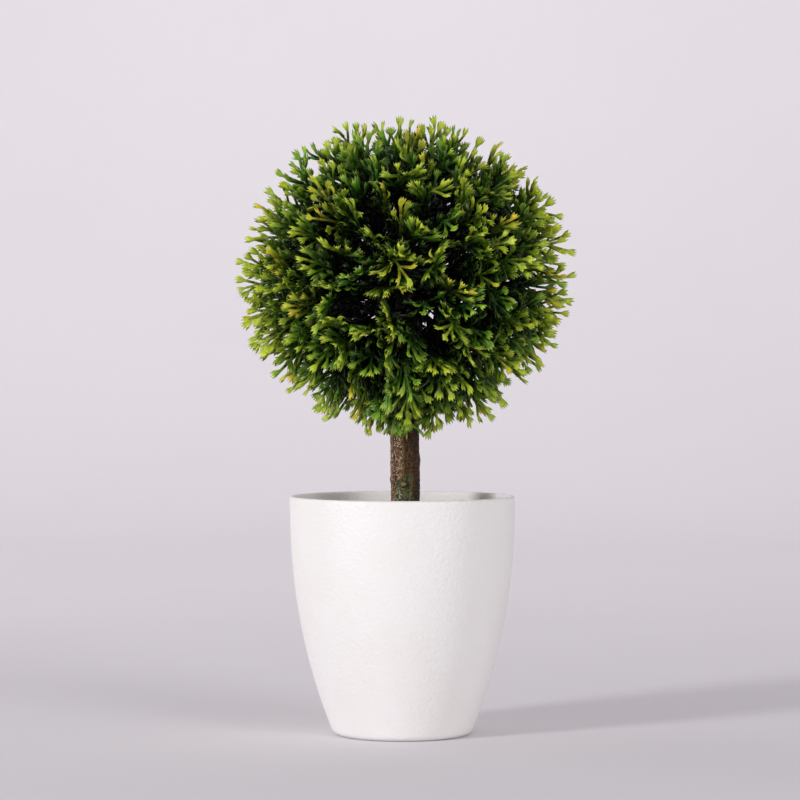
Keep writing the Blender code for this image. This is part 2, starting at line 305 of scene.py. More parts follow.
def makeSpeckGroup():
    # small separate spots: the middles of some random cells
    group, given, result = newGroup(
        "specks",
        [("Scale", "Float", 1500.0), ("Size", "Float", 0.35), ("Share", "Float", 0.5)],
        [("Mask", "Float")])
    place = addNode(group, "TexCoord")
    cells = addNode(group, "TexVoronoi", Vector=place.outputs["Object"], Scale=given.outputs["Scale"])
    near = calculate(group, "LESS_THAN", cells.outputs["Distance"], given.outputs["Size"])
    split = addNode(group, "SeparateColor", Color=cells.outputs["Color"])
    chosen = calculate(group, "LESS_THAN", split.outputs["Red"], given.outputs["Share"])
    group.links.new(calculate(group, "MULTIPLY", near, chosen), result.inputs["Mask"])
    return group


mottleGroup = makeMottleGroup()
grainGroup = makeGrainGroup()
speckGroup = makeSpeckGroup()


def mottled(tree, first, second, scale, low=0.35, high=0.65):
    # two colours, or two other nodes' outputs, mixed by clouded noise
    return useGroup(tree, mottleGroup, First=first, Second=second, Scale=scale, Low=low, High=high)


def grainInto(tree, shader, broad, fine, pimples, depth, strength=1.0):
    # the scales of the broad noise and of the pimples, the pimples' share, and the depth of the relief
    grain = useGroup(tree, grainGroup, Broad=broad, Fine=fine, Pimples=pimples)
    bump = addNode(tree, "Bump", Height=grain.outputs["Height"], Distance=depth, Strength=strength)
    tree.links.new(bump.outputs["Normal"], shader.inputs["Normal"])


def plainFinish(name, values):
    # two mottled colours, an even roughness and a grain, for the pieces that need no more
    material, tree, shader = newMaterial(name)
    tint = mottled(tree, *[colour(*shade) for shade in values["colours"]], *values["mottle"])
    tree.links.new(tint.outputs["Colour"], shader.inputs["Base Color"])
    shader.inputs["Roughness"].default_value = values["roughness"]
    grainInto(tree, shader, *values["grain"])
    return material


cameraSettings = {
    "distance": 1.15,        # from the pot's axis
    "eyeHeight": 0.1445,
    "aimHeight": 0.1262,     # where the view's centre line crosses the pot's axis
    "side": -0.0009,
    "lens": 137.0,
}

stageSettings = {
    "floorColour": (0.765, 0.735, 0.765),
    "frontEdge": -5.0,
    "sweepStart": 1.1,       # where the floor starts to rise
    "sweepRadius": 0.9,
    "wallTop": 2.4,
    "halfWidth": 5.0,
    "shade": 0.985,          # the paper's darker cloud, as a share of its colour
    "cloudScale": 3.0,
}

lightSettings = {
    # angles in degrees from the centre: azimuth from the camera's side towards +X, elevation from level
    "key": {"azimuth": -51, "elevation": 15, "distance": 3.0, "size": 0.6, "power": 47.5},
    "fill": {"azimuth": 40, "elevation": 14, "distance": 3.4, "size": 1.8, "power": 36.5},
    "rim": {"azimuth": -118, "elevation": 18, "distance": 1.6, "size": 0.8, "power": 2.4},
    "wall": {"azimuth": 176, "elevation": 62, "distance": 1.5, "size": 1.0, "power": 6.0,
             "aim": (0, 2.0, 0.7)},
    "centre": (0, 0, 0.12),
    "worldColour": (1.0, 0.965, 1.0),
    "worldStrength": 0.43,
}


def aimAt(thing, target):
    direction = np.array(target, float) - np.array(thing.location)
    thing.rotation_mode = "QUATERNION"
    thing.rotation_quaternion = Vector(direction).to_track_quat("-Z", "Y")


def makeCamera():
    camera = addObject("camera", bpy.data.cameras.new("camera"))
    camera.location = (cameraSettings["side"], -cameraSettings["distance"], cameraSettings["eyeHeight"])
    aimAt(camera, (cameraSettings["side"], 0, cameraSettings["aimHeight"]))
    camera.data.lens = cameraSettings["lens"]
    camera.data.sensor_width = 36.0
    bpy.context.scene.camera = camera


def makeStage():
    # a floor that rises into a wall along a quarter circle, carried sideways
    radius, start = stageSettings["sweepRadius"], stageSettings["sweepStart"]
    angle = np.linspace(0, math.pi / 2, 32)
    curveY = np.concatenate([[stageSettings["frontEdge"]], start + radius * np.sin(angle), [start + radius]])
    curveZ = np.concatenate([[0.0], radius * (1 - np.cos(angle)), [stageSettings["wallTop"]]])
    x, y = np.meshgrid(np.linspace(-1, 1, 2) * stageSettings["halfWidth"], curveY)
    z = np.broadcast_to(curveZ[:, None], x.shape)
    points = np.stack([x, y, z], axis=-1).reshape(-1, 3)
    mesh = makeMesh("backdrop", points, [gridFaces(len(curveY), 2, wrap=False)])
    material, tree, shader = newMaterial("backdropPaper")
    paper = stageSettings["floorColour"]
    shade = [level * stageSettings["shade"] for level in paper]
    tint = mottled(tree, colour(*paper), colour(*shade), stageSettings["cloudScale"])
    tree.links.new(tint.outputs["Colour"], shader.inputs["Base Color"])
    shader.inputs["Roughness"].default_value = 0.9
    backdrop = addObject("backdrop", mesh)
    mesh.materials.append(material)


def makeLights():
    for name in ("key", "fill", "rim", "wall"):
        values = lightSettings[name]
        light = bpy.data.lights.new(name, "AREA")
        light.shape = "DISK"
        light.size = values["size"]
        light.energy = values["power"]
        azimuth, elevation = math.radians(values["azimuth"]), math.radians(values["elevation"])
        lamp = addObject(name, light)
        reach = values["distance"] * math.cos(elevation)
        lamp.location = (reach * math.sin(azimuth), -reach * math.cos(azimuth),
                         lightSettings["centre"][2] + values["distance"] * math.sin(elevation))
        aimAt(lamp, values.get("aim", lightSettings["centre"]))
    world = bpy.data.worlds.new("studio")
    bpy.context.scene.world = world
    world.use_nodes = True
    background = world.node_tree.nodes["Background"]
    background.inputs["Color"].default_value = (*lightSettings["worldColour"], 1.0)
    background.inputs["Strength"].default_value = lightSettings["worldStrength"]


bpy.context.scene.view_settings.view_transform = "Standard"
makeCamera()
makeStage()
makeLights()
print("camera, floor and light are in place")


potSettings = {
    "taper": 0.39,           # share of the rim's radius that the outline has lost at the foot
    "curve": 2.25,           # power of that loss, counted down from the rim
    "wall": 0.0020,
    "floor": 0.0033,
    "fillet": 0.0035,
    "ringWidth": 0.0030,
    "recess": 0.0008,
    "sides": 256,
    "colour": (0.87, 0.85, 0.84),
    "shade": (0.985, 0.98, 0.97),
    "roughness": (0.42, 0.51),
    "ior": 1.46,
    "mottleScale": 45.0,
    "grain": (650.0, 950.0, 0.9, 0.00016, 0.9),
}


def potRadius(height):
    # outer radius of the pot: the rim's, less a share that grows as a power of the depth below the rim
    depth = 1 - np.asarray(height, float) / potHigh[2]
    return potHigh[0] * (1 - potSettings["taper"] * np.clip(depth, 0, 1) ** potSettings["curve"])


def boreRadius(height):
    return potRadius(height) - potSettings["wall"]


def makePotMaterial():
    material, tree, shader = newMaterial("whiteMouldedPlastic")
    base = potSettings["colour"]
    shade = [level * share for level, share in zip(base, potSettings["shade"])]
    tint = mottled(tree, colour(*base), colour(*shade), potSettings["mottleScale"])
    tree.links.new(tint.outputs["Colour"], shader.inputs["Base Color"])
    roughness = rescaled(tree, tint.outputs["Mask"], *potSettings["roughness"])
    tree.links.new(roughness, shader.inputs["Roughness"])
    grainInto(tree, shader, *potSettings["grain"])
    shader.inputs["IOR"].default_value = potSettings["ior"]
    return material


def makePot():
    lean = math.degrees(math.atan(potHigh[0] * potSettings["taper"] * potSettings["curve"] / potHigh[2]))
    fillet = potSettings["fillet"]
    corner = float(potRadius(0)) - fillet / math.tan(math.radians((90 + lean) / 2))
    ringInner = corner - potSettings["ringWidth"]
    recess, wall, floor = potSettings["recess"], potSettings["wall"], potSettings["floor"]
    lipCentre = potHigh[2] - wall / 2
    foot = arcPoints(corner, fillet, fillet, -90, -lean, 8)
    outsideZ = np.linspace(foot[-1, 1], lipCentre, 72)[1:-1]
    insideZ = np.linspace(lipCentre, floor + wall, 60)[1:]
    insideR = boreRadius(insideZ)
    rounding = arcPoints(insideR[-1] - wall, floor + wall, wall, 0, -90, 7)[1:]
    outline = np.concatenate([
        [[0, recess], [ringInner * 0.5, recess], [ringInner - 2 * recess, recess],
         [ringInner - recess, recess * 0.9], [ringInner - recess * 0.3, recess * 0.3], [ringInner, 0]],
        foot,
        np.stack([potRadius(outsideZ), outsideZ], axis=-1),
        arcPoints(potHigh[0] - wall / 2, lipCentre, wall / 2, 0, 180, 13),
        np.stack([insideR, insideZ], axis=-1),
        rounding,
        [[rounding[-1, 0] * 0.5, floor], [0, floor]],
    ])
    mesh = turnedSurface("potShell", outline, potSettings["sides"])
    placePiece("potShell", mesh, makePotMaterial(), "pot", ["pot"])


makePot()
print("pot is turned")


# In each plain finish, mottle is its scale and the range of noise where the colours cross, and grain is the
# scale of its broad noise, the scale of its pimples, their share and the depth of the relief.
fillingSettings = {
    "gap": 0.0003,
    "sides": 160,
    "cement": {"colours": ((0.47, 0.46, 0.43), (0.33, 0.32, 0.30)), "mottle": (160.0, 0.4, 0.7),
               "roughness": 0.92, "grain": (260.0, 900.0, 0.7, 0.0004)},
    "foam": {"colours": ((0.060, 0.135, 0.055), (0.040, 0.095, 0.038)), "mottle": (1300.0, 0.42, 0.6),
             "roughness": 0.95, "grain": (500.0, 1500.0, 1.4, 0.0005)},
    "glue": {"colours": ((0.72, 0.66, 0.50), (0.576, 0.5016, 0.33)), "mottle": (180.0,),
             "roughness": 0.28, "grain": (240.0, 500.0, 0.1, 0.0004)},
}


def sideOutline(low, high, steps):
    # the filling's side, which follows the pot's bore and stays a gap clear of it
    height = np.linspace(low, high, steps)
    return np.stack([boreRadius(height) - 1.5 * fillingSettings["gap"], height], axis=-1)


def makeBallast():
    side = sideOutline(ballastLow[2] + 0.0022, ballastHigh[2], 12)
    top = ballastHigh[2]

    def ripple(points, radius, angle):
        # the top settles a little unevenly while it sets, and climbs the pot's wall by a fraction
        isTop = smoothStep(top - 0.0006, top, points[..., 2])
        wave = latticeNoise(angle / math.tau, radius / side[-1, 0], 7, 5, 11)
        points[..., 2] -= isTop * (0.0003 + 0.0002 * wave) * smoothStep(0, 0.01, radius)
        return points

    across = np.linspace(1, 0, 24)[1:-1] * side[-1, 0]
    outline = np.concatenate([
        [[0, ballastLow[2]], [side[0, 0] * 0.5, ballastLow[2]], [side[0, 0] - 0.0030, ballastLow[2]]],
        side,
        np.stack([across, np.full(len(across), top)], axis=-1),
        [[0, top - 0.0003]],
    ])
    mesh = turnedSurface("cementPlug", outline, fillingSettings["sides"], ripple)
    material = plainFinish("castCement", fillingSettings["cement"])
    placePiece("cementPlug", mesh, material, "pot", ["ballast"])


def makeFoam():
    side = sideOutline(foamLow[2] + 0.0006, foamHigh[2] - 0.0004, 60)
    hole = trunkHigh[0] - trunkX + 0.0004
    holeFloor = trunkLow[2] - fillingSettings["gap"]

    def crumble(points, radius, angle):
        # a cut block of foam: shallow dents all over its side, and the hole moved on to the trunk's axis
        share = (points[..., 2] - foamLow[2]) / (foamHigh[2] - foamLow[2])
        u = angle / math.tau
        dents = latticeNoise(u, share, 26, 9, 21) + latticeNoise(u, share, 80, 28, 22)
        outer = smoothStep(hole * 1.8, hole * 2.6, radius)
        shrink = 1 - outer * 0.00035 * (1 + dents) / np.maximum(radius, 0.01)
        points[..., 0] = points[..., 0] * shrink + trunkX * (1 - outer)
        points[..., 1] *= shrink
        return points

    across = np.linspace(side[-1, 0] - 0.0006, hole, 14)
    down = np.linspace(foamHigh[2], holeFloor, 12)[1:]
    outline = np.concatenate([
        [[0, foamLow[2]], [side[0, 0] * 0.5, foamLow[2]], [side[0, 0] - 0.0006, foamLow[2]]],
        side,
        np.stack([across, np.full(len(across), foamHigh[2])], axis=-1),
        np.stack([np.full(len(down), hole), down], axis=-1),
        [[0, holeFloor]],
    ])
    mesh = turnedSurface("foamBlock", outline, fillingSettings["sides"], crumble)
    material = plainFinish("dryFoam", fillingSettings["foam"])
    placePiece("foamBlock", mesh, material, "tree", ["foam_plug"])


def makeGlue():
    inner = glueHigh[0] - trunkX
    trunkSide = trunkHigh[0] - trunkX + 0.0002
    height = glueHigh[2] - glueLow[2]
    sweep = np.linspace(0.05, 1, 12) * math.pi / 2
    face = np.stack([trunkSide + (inner - trunkSide) * (1 - np.sin(sweep)),
                     glueLow[2] + height * (1 - np.cos(sweep))], axis=-1)

    def run(points, radius, angle):
        # the bead is laid by hand, so its height and reach wander round the trunk
        wander = latticeNoise(angle / math.tau, np.full(angle.shape, 0.5), 9, 1, 31)
        lift = (points[..., 2] - glueLow[2]) * 0.22 * wander
        points[..., 2] -= np.abs(lift)
        points[..., 0] += trunkX
        return points

    outline = np.concatenate([[[trunkSide, glueLow[2]], [inner, glueLow[2]]], face])
    mesh = turnedRing("glueFillet", outline, 96, run)
    material = plainFinish("hotMeltGlue", fillingSettings["glue"])
    placePiece("glueFillet", mesh, material, "tree", ["glue_bead"])


makeBallast()
makeFoam()
makeGlue()
print("ballast, foam and glue are in the pot")


mossSettings = {
    "seed": 41,
    "curls": 1900,
    "curlLength": 0.0036,
    "curlRadius": 0.00024,
    "light": (0.19, 0.18, 0.06),
    "dark": (0.07, 0.065, 0.02),
    "dead": (0.24, 0.15, 0.07),
    "roughness": 0.9,
    "grain": (700.0, 1800.0, 0.8, 0.0005),
}


def makeMossMaterial():
    material, tree, shader = newMaterial("driedMoss")
    tint = mottled(tree, colour(*mossSettings["light"]), colour(*mossSettings["dark"]), 220.0, 0.38, 0.62)
    brown = mottled(tree, tint.outputs["Colour"], colour(*mossSettings["dead"]), 90.0, 0.55, 0.75)
    tree.links.new(brown.outputs["Colour"], shader.inputs["Base Color"])
    shader.inputs["Roughness"].default_value = mossSettings["roughness"]
    grainInto(tree, shader, *mossSettings["grain"])
    return material


def tubeArrays(start, control, end, startRadius, endRadius, steps, sides, reference):
    # many tubes at once, each along start(1-t)^2 + 2 control t(1-t) + end t^2, with its radius eased along t
    t = np.linspace(0, 1, steps)[None, :, None]
    centre = start[:, None] * (1 - t) ** 2 + control[:, None] * 2 * t * (1 - t) + end[:, None] * t ** 2
    ahead = (control - start)[:, None] * (1 - t) + (end - control)[:, None] * t
    ahead /= np.linalg.norm(ahead, axis=-1, keepdims=True)
    side = reference[:, None] - ahead * np.sum(reference[:, None] * ahead, axis=-1, keepdims=True)
    side /= np.linalg.norm(side, axis=-1, keepdims=True)
    up = np.cross(ahead, side)
    radius = startRadius[:, None, None] * (1 - t) + endRadius[:, None, None] * t
    angle = np.linspace(0, math.tau, sides, endpoint=False)[None, None, :, None]
    points = centre[:, :, None] + radius[:, :, None] * (
        side[:, :, None] * np.cos(angle) + up[:, :, None] * np.sin(angle))
    count = len(start)
    offset = (np.arange(count) * steps * sides)[:, None, None]
    walls = (gridFaces(steps, sides)[None] + offset).reshape(-1, 4)
    ring = np.arange(sides)[None, None]
    bottoms = (ring[..., ::-1] + offset).reshape(-1, sides)
    tops = (ring + (steps - 1) * sides + offset).reshape(-1, sides)
    return points.reshape(-1, 3), walls, bottoms, tops


def anySquare(vectors):
    # for each vector, some vector that is square to it
    helper = np.where(np.abs(vectors[:, 2:]) < 0.8, [[0.0, 0.0, 1.0]], [[1.0, 0.0, 0.0]])
    square = np.cross(vectors, helper)
    return square / np.linalg.norm(square, axis=-1, keepdims=True)


def unit(vectors):
    return vectors / np.linalg.norm(vectors, axis=-1, keepdims=True)


def makeMoss():
    rim = float(boreRadius(mossLow[2])) - 2 * fillingSettings["gap"]
    hole = glueHigh[0] + 0.0003
    top = mossHigh[2] - 0.0002
    bottom = mossLow[2]
    share = np.linspace(1, 0, 60)
    radius = hole + (rim - 0.0008 - hole) * share
    dome = top - 0.0016 * share ** 3 - 0.0007 * (1 - share) ** 6
    outline = np.concatenate([
        [[hole, bottom], [(hole + rim) / 2, bottom], [rim, bottom], [rim, bottom + 0.0012]],
        np.stack([radius, dome], axis=-1),
    ])

    def lumps(points, radius, angle):
        # cushions of moss: three sizes of noise, lifted only on the upper face
        u, v = angle / math.tau, radius / rim
        rise = (0.0011 * latticeNoise(u, v, 16, 6, 42) + 0.0006 * latticeNoise(u, v, 44, 16, 43)
                + 0.0003 * latticeNoise(u, v, 150, 50, 44))
        points[..., 2] += rise * smoothStep(bottom + 0.0010, bottom + 0.0024, points[..., 2])
        return points

    material = makeMossMaterial()
    base = turnedRing("mossBase", outline, 200, lumps)
    placePiece("mossMat", base, material, "tree", ["moss_mat"])
    # short curls stand out of the mat, each along an arc that leans its own way
    random = np.random.default_rng(mossSettings["seed"])
    count, length = mossSettings["curls"], mossSettings["curlLength"]
    span = np.sqrt(random.uniform((hole + 0.001) ** 2, (rim - length) ** 2, count))
    azimuth = random.uniform(0, math.tau, count)
    start = np.stack([span * np.cos(azimuth), span * np.sin(azimuth), np.full(count, top - 0.0022)], axis=-1)
    lean = random.uniform(0, math.tau, count)
    sideways = np.stack([np.cos(lean), np.sin(lean), np.zeros(count)], axis=-1)
    rise = np.array([[0.0, 0.0, 1.0]]) * random.uniform(0.5, 1.0, (count, 1)) * length
    control = start + rise * 1.4 + sideways * length * 0.1
    end = start + rise * random.uniform(0.5, 1.0, (count, 1))
    end = end + sideways * length * random.uniform(0.3, 0.9, (count, 1))
    thick = np.full(count, mossSettings["curlRadius"])
    points, walls, bottoms, tops = tubeArrays(start, control, end, thick, thick * 0.5, 5, 4,
                                              anySquare(unit(end - start)))
    curls = makeMesh("mossCurls", points, [walls, bottoms, tops])
    placePiece("mossCurls", curls, material, "tree", ["moss_mat"])


makeMoss()
print("moss is laid")


trunkSettings = {
    "sides": 168,
    "rows": 520,
    "radius": 0.0054,
    "knotAngle": -95,         # degrees, seen from above; -90 faces the camera
    "knotHeight": 0.0946,
    "knotRadius": 0.0010,
    "knotRise": 0.0009,
    # the pale bark colour is painted light, for the side that faces the light
    "barkLit": (0.230, 0.128, 0.056),
    "barkWarm": (0.140, 0.066, 0.014),
    "barkDark": (0.022, 0.010, 0.004),
    "barkRed": (0.150, 0.050, 0.020),
    # painted glints: pale spots on the lit side
    "glint": (0.62, 0.48, 0.36),
    "mossLight": (0.085, 0.100, 0.028),
    "mossDark": (0.018, 0.026, 0.006),
    "lichen": (0.42, 0.40, 0.29),
    "golden": (0.27, 0.155, 0.040),
    "crease": (0.26, 0.17, 0.12),
    "cut": (0.25, 0.155, 0.065),
    "roughness": (0.36, 0.62),
    "specular": 0.22,
    "grain": (1300.0, 1500.0, 1.2, 0.0003),
    # angles, in degrees as the knot's
    "mossLeft": -92,
    "mossRight": -60,
    "mossSpread": 40,         # how much further left the moss reaches low down
    "goldenAngle": -97,
    "lichenAngle": -113,
    # painted light covers the bark between the next two angles
    "litRight": -100,
    "litLeft": -178,
    # painted shade on the side away from the light: its angle and its strength
    "paintedShadeAngle": -12,
    "paintedShade": 0.38,
    # heights
    "rightScar": 0.1035,
    "leftScar": 0.0963,
    "mossTop": 0.0975,
    "lichenMiddle": 0.0895,
    # relief, in metres
    "ridgeRelief": 0.00030,
    "pebbleRelief": 0.00012,
    "scarRelief": 0.00032,
    "goldenRelief": 0.00022,
    "creaseRelief": 0.00022,
    "collarRelief": 0.0003,
}


def makeBarkMaterial():
    material, tree, shader = newMaterial("branchBark")
    place = addNode(tree, "TexCoord")
    stretch = addNode(tree, "Mapping", Vector=place.outputs["Object"])
    stretch.inputs["Scale"].default_value = (1, 1, 0.3)
    fibre = addNode(tree, "TexNoise", Vector=stretch.outputs["Vector"], Scale=1100.0, Detail=5.0,
                    Roughness=0.65)
    masks = {label: readValue(tree, label) for label in
             ("ridge", "paintedLight", "moss", "lichen", "golden", "crease", "cut")}
    # the ridge value also carries the painted shade of the right side
    relief = calculate(tree, "MULTIPLY_ADD", fibre.outputs["Fac"], 0.9, masks["ridge"])
    tinted = rampColour(tree, relief, ((0.25, trunkSettings["barkDark"]), (0.85, trunkSettings["barkWarm"])))
    red = mottled(tree, tinted, colour(*trunkSettings["barkRed"]), 330.0, 0.56, 0.70)
    # painted light: the side that faces the light is mixed towards a paler bark
    litShare = calculate(tree, "MULTIPLY", masks["paintedLight"], rescaled(tree, relief, 0.0, 1.0, 0.12, 0.50))
    tinted = mixInto(tree, red.outputs["Colour"], colour(*trunkSettings["barkLit"]), litShare)
    tinted = mixInto(tree, tinted, colour(*trunkSettings["golden"]), masks["golden"])
    # painted glints: small pale spots, only where the lit side is painted
    specks = useGroup(tree, speckGroup, Scale=2300.0, Size=0.46, Share=0.26)
    glintShare = calculate(tree, "MULTIPLY", specks.outputs["Mask"], masks["paintedLight"])
    tinted = mixInto(tree, tinted, colour(*trunkSettings["glint"]), glintShare)
    green = mottled(tree, colour(*trunkSettings["mossDark"]), colour(*trunkSettings["mossLight"]),
                    800.0, 0.40, 0.62)
    tinted = mixInto(tree, tinted, green.outputs["Colour"], masks["moss"])
    grit = useGroup(tree, speckGroup, Scale=1500.0, Size=0.50, Share=0.65)
    gritShare = calculate(tree, "MULTIPLY", grit.outputs["Mask"], masks["lichen"])
    tinted = mixInto(tree, tinted, colour(*trunkSettings["lichen"]), gritShare)
    for label in ("crease", "cut"):
        tinted = mixInto(tree, tinted, colour(*trunkSettings[label]), masks[label])
    tree.links.new(tinted, shader.inputs["Base Color"])
    gloss = rescaled(tree, fibre.outputs["Fac"], *trunkSettings["roughness"], 0.35, 0.65)
    tree.links.new(gloss, shader.inputs["Roughness"])
    shader.inputs["Specular IOR Level"].default_value = trunkSettings["specular"]
    grainInto(tree, shader, *trunkSettings["grain"])
    return material


def hump(value, centre, width):
    return np.exp(-((value - centre) / width) ** 2)


def makeTrunk():
    sides, rows = trunkSettings["sides"], trunkSettings["rows"]
    low, high = trunkLow[2], coreLow[2] + 0.0025
    u, v = np.meshgrid(np.arange(sides) / sides, np.linspace(0, 1, rows))
    height = low + (high - low) * v
    angle = math.tau * u
    turn = (angle + math.pi) % math.tau - math.pi  # the same angle, from -pi to pi
    # radius: the branch's own, slow swellings, lengthwise ridges that drift round it, then pebbly bark
    drift = u + 0.035 * latticeNoise(u, v, 3, 6, 50)
    ridge = 0.6 * latticeNoise(drift, v, 17, 8, 51) + 0.4 * latticeNoise(drift, v, 38, 22, 52)
    pebble = latticeNoise(u, v, 84, 260, 53)
    swell = 0.018 * np.sin(3 * angle + 90 * height) + 0.016 * np.sin(2 * angle + 2) * np.sin(150 * height)
    scar = (hump(turn, 0.0, 0.5) * hump(height, trunkSettings["rightScar"], 0.0014)
            + hump(np.abs(turn), math.pi, 0.5) * hump(height, trunkSettings["leftScar"], 0.0011))
    golden = hump(turn, math.radians(trunkSettings["goldenAngle"]), 0.07) * smoothStep(0.0960, 0.0985, height)
    radius = (trunkSettings["radius"] * (1 + swell) + trunkSettings["ridgeRelief"] * ridge
              + trunkSettings["pebbleRelief"] * pebble + trunkSettings["scarRelief"] * scar
              + trunkSettings["goldenRelief"] * golden)
    # knot: a cut stub, a little pointed above, below and at its sides, on a low collar
    knotRadius = trunkSettings["knotRadius"]
    away = np.abs(turn - math.radians(trunkSettings["knotAngle"])) * trunkSettings["radius"]
    above = np.abs(height - trunkSettings["knotHeight"])
    fromKnot = (away ** 1.4 + above ** 1.4) ** (1 / 1.4)
    knot = 1 - smoothStep(knotRadius * 0.85, knotRadius * 1.35, fromKnot)
    collar = hump(fromKnot, 0, 2.2 * knotRadius)
    radius = (radius * (1 - knot) + knot * (trunkSettings["radius"] + trunkSettings["knotRise"])
              + trunkSettings["collarRelief"] * collar)
    cut = 1 - smoothStep(knotRadius * 0.75, knotRadius * 0.98, fromKnot)
    # green film on the lower front, wider below and ragged along its edge; a pale crease climbs beside it
    ragged = 0.5 * latticeNoise(u, v, 20, 40, 54) + 0.5 * latticeNoise(u, v, 60, 120, 55)
    leftEdge = (math.radians(trunkSettings["mossLeft"])
                - math.radians(trunkSettings["mossSpread"]) * smoothStep(0.0985, 0.0950, height))
    film = (smoothStep(-0.08, 0.12, turn - leftEdge + 0.3 * ragged)
            * smoothStep(-0.05, 0.10, math.radians(trunkSettings["mossRight"]) - turn + 0.2 * ragged)
            * smoothStep(0.0993, trunkSettings["mossTop"], height + 0.0012 * ragged))
    creaseAngle = math.radians(-59) - (0.0973 - height) * 27.8
    crease = (hump(turn, creaseAngle, 0.034) * smoothStep(0.0990, 0.0970, height)
              * smoothStep(0.0840, 0.0870, height))
    radius = radius - trunkSettings["creaseRelief"] * crease
    lichen = (hump(turn, math.radians(trunkSettings["lichenAngle"]), 0.30)
              * hump(height, trunkSettings["lichenMiddle"], 0.0034))
    # painted light: the left of the front, which faces the light, is paler, fading round the back; painted
    # shade: the right, away from the light, is darker
    paintedLight = (smoothStep(-0.06, 0.10, math.radians(trunkSettings["litRight"]) - turn + 0.10 * ragged)
            * smoothStep(-0.3, 0.5, turn - math.radians(trunkSettings["litLeft"]) + 0.2 * ragged))
    points = np.stack([trunkX + radius * np.cos(angle), radius * np.sin(angle), height], axis=-1)
    ends = np.array([[trunkX, 0, low], [trunkX, 0, high]])
    # painted shade on the right, away from the light, taken off the ridge value that sets the bark's colour
    dark = trunkSettings["paintedShade"] * hump(turn, math.radians(trunkSettings["paintedShadeAngle"]), 0.85)
    masks = {"ridge": 0.35 * ridge + 0.25 * pebble - dark, "paintedLight": paintedLight, "moss": 0.92 * film * (1 - knot),
             "lichen": lichen, "golden": 0.75 * golden * (0.6 + 0.4 * ragged), "crease": 0.7 * crease,
             "cut": cut}
    values = {label: np.concatenate([mask.ravel(), [0, 0]]) for label, mask in masks.items()}
    mesh = makeMesh("branchTrunk", np.concatenate([points.reshape(-1, 3), ends]),
                    cappedFaces(rows, sides), values)
    placePiece("branchTrunk", mesh, makeBarkMaterial(), "tree", ["trunk"])


makeTrunk()
print("trunk has its bark")


coreSettings = {
    "colours": ((0.030, 0.017, 0.009), (0.012, 0.007, 0.004)),
    "mottle": (300.0,),
    "roughness": 0.8,
    "grain": (500.0, 900.0, 0.5, 0.0004),
    "rows": 40,
    "sides": 72,
}


def makeCore():
    radius = float(np.linalg.norm(nodePoints("core_ball") - ballCentre, axis=1).max()) - 0.0002
    polar = np.linspace(math.pi, 0, coreSettings["rows"])
    outline = np.stack([radius * np.sin(polar), ballCentre[2] + radius * np.cos(polar)], axis=-1)
    outline[[0, -1], 0] = 0

    def dent(points, ringRadius, angle):
        # a moulded ball, faintly uneven, on the trunk's axis
        share = (points[..., 2] - coreLow[2]) / (coreHigh[2] - coreLow[2])
        swell = 1 + 0.012 * latticeNoise(angle / math.tau, share, 12, 8, 61)
        points[..., 0] = points[..., 0] * swell + ballCentre[0]
        points[..., 1] *= swell
        return points

    mesh = turnedSurface("coreBall", outline, coreSettings["sides"], dent)
    material = plainFinish("coreBrown", coreSettings)
    placePiece("coreBall", mesh, material, "tree", ["core_ball"])


makeCore()
print("core is on the trunk")


leafSettings = {
    "blade": 0.0041,          # from neck to teeth
    "halfWidth": 0.34,        # as shares of the blade from here on
    "neck": 0.125,
    "thickness": 0.13,
    "toothDepth": 0.31,
    "cup": 0.50,
    "curl": 0.12,
    # the share of leaves with each number of teeth
    "teeth": {3: 0.2, 4: 0.5, 5: 0.3},
}

foliageSettings = {
    "seed": 7,
    "arms": 265,
    "reach": 0.0652,          # from the ball's centre to the longest tips
    "flatten": 0.0022,        # how much shorter the arms at its top and bottom are
    "shortBy": 0.0050,
    "bottomGap": 7.0,         # degrees round the trunk without arms
    "tilt": 26.0,             # spread, in degrees, of the arms' lean away from straight out
    "armRadius": 0.00066,
    "twigRadius": 0.00052,
    "stemRadius": 0.0013,
    # for each pair of twigs: distance behind the arm's tip, twig length, leaves on the side of a twig
    "pairs": ((0.0054, 0.0020, 0), (0.0110, 0.0052, 1), (0.0170, 0.0074, 2), (0.0230, 0.0086, 2),
              (0.0290, 0.0086, 1)),
    "spread": 36,             # degrees between an arm and its twigs
    "stalk": 0.0030,
    "skirtArms": 9,
    "skirtAngle": 11.0,       # degrees from straight down
    "skirtShort": 0.0030,
    "innerTwigs": 5,
    "innerLength": 0.0105,
    "stemReach": 0.62,        # of a stem's top, as a share of the arms' reach
    "stemBend": 0.22,         # how far a stem keeps its first direction, as such a share
    "trunkClearance": 0.0012,
    # rings along, and sides round, each kind of tube
    "stemTube": (14, 10),
    "armTube": (9, 6),
    "twigTube": (4, 5),
    # the leaf's colour from the middle of the ball to its edge, its darkening inwards painted shade of the
    # inner foliage with some of the stems' darker dye, and what that is multiplied by on each arm
    "paintedDepthShade": ((0.0, (0.0015, 0.0035, 0.0008)), (0.35, (0.0012, 0.0060, 0.001)),
               (0.60, (0.0075, 0.034, 0.002)), (0.82, (0.070, 0.170, 0.006)), (1.0, (0.47, 0.615, 0.034))),
    "tones": ((0.0, (0.38, 0.68, 1.0)), (0.18, (0.60, 0.84, 1.05)), (0.35, (1.0, 1.0, 1.0)),
              (0.78, (1.16, 1.02, 0.9)), (1.0, (1.95, 0.95, 0.8))),
    "stalkToBlade": (0.55, 1.10),
    "cloud": (0.72, 1.28),
    # painted highlight on the teeth and edges of the outer leaves
    "tipHighlight": (0.60, 0.63, 0.12),
    "roughness": 0.36,
    "specular": 0.26,
    "grain": (900.0, 2500.0, 0.3, 0.00015, 0.6),
}


